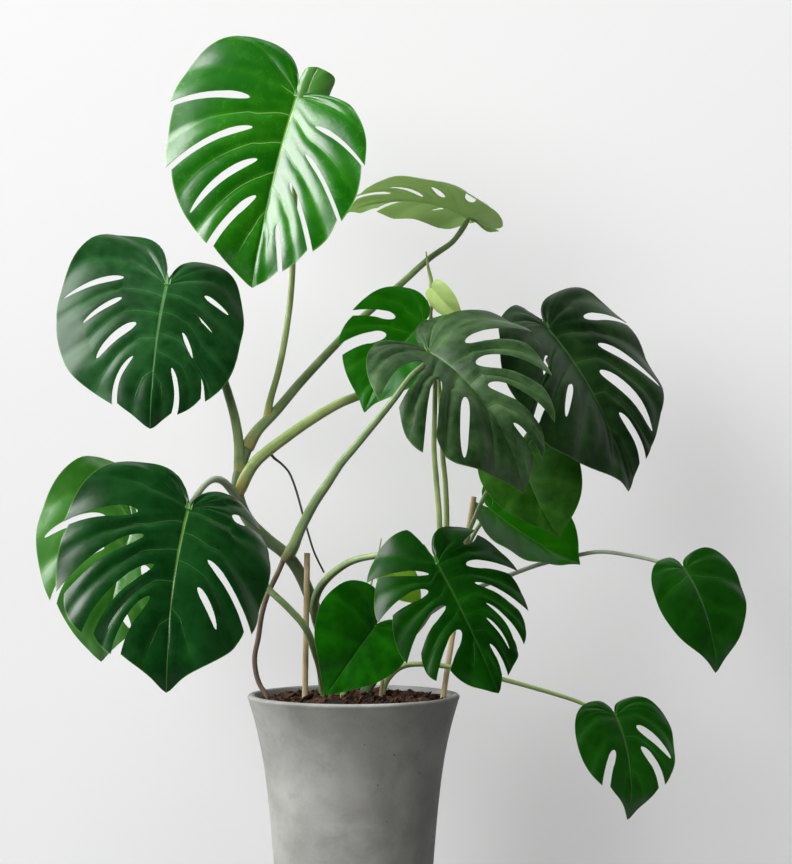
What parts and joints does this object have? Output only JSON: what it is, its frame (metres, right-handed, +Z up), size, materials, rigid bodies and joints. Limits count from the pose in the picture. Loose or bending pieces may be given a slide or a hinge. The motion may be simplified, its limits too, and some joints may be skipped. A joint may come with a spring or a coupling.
{
  "type": "potted plant",
  "caption": "Swiss cheese plant with split and holed leaves on long arching stalks, in a tall flared concrete pot with two short canes.",
  "frame": {"origin": "middle of the pot's flat underside, on the floor", "axes": "+Z up along the pot's axis, -Y towards the viewer of the front, +X to the viewer's right"},
  "size_m": [0.9382, 0.4827, 1.1941],
  "materials": {
    "pot": "matt grey concrete with fine pinholes",
    "soil": "damp potting mix with bark chips",
    "cane": "dry split cane, satin",
    "stem": "waxy green stem, satin",
    "stalk": "smooth green leaf stalk, satin",
    "leaf": "waxy dark green leaf, half gloss",
    "young_leaf": "soft lime green new leaf, satin",
    "root": "dry brown aerial root, matt"
  },
  "bodies": {
    "root": {"aerial_root_thick": "root", "aerial_root_thin": "root", "dry_stub": "cane", "leaf_centre_behind": "leaf", "leaf_centre_front": "leaf", "leaf_crown": "leaf", "leaf_far_right": "leaf", "leaf_front_low": "leaf", "leaf_front_small": "leaf", "leaf_left_behind": "leaf", "leaf_left_high": "leaf", "leaf_left_low": "leaf", "leaf_low_right": "leaf", "leaf_new_lower": "young_leaf", "leaf_new_upper": "young_leaf", "leaf_right_dark": "leaf", "leaf_right_folded": "leaf", "leaf_right_hanging": "leaf", "leaf_top_right": "leaf", "pot": "pot", "rolled_leaf": "young_leaf", "sheath_upper": "stalk", "soil": "soil", "stake_left": "cane", "stake_right": "cane", "stalk_centre_behind": "stalk", "stalk_centre_front": "stalk", "stalk_crown": "stalk", "stalk_far_right": "stalk", "stalk_front_low": "stalk", "stalk_front_small": "stalk", "stalk_left_behind": "stalk", "stalk_left_high": "stalk", "stalk_left_low": "stalk", "stalk_low_right": "stalk", "stalk_new_lower": "stalk", "stalk_new_upper": "stalk", "stalk_right_dark": "stalk", "stalk_right_folded": "stalk", "stalk_right_hanging": "stalk", "stalk_top_right": "stalk", "stem_main": "stem", "stem_right": "stem"}
  },
  "joints": []
}
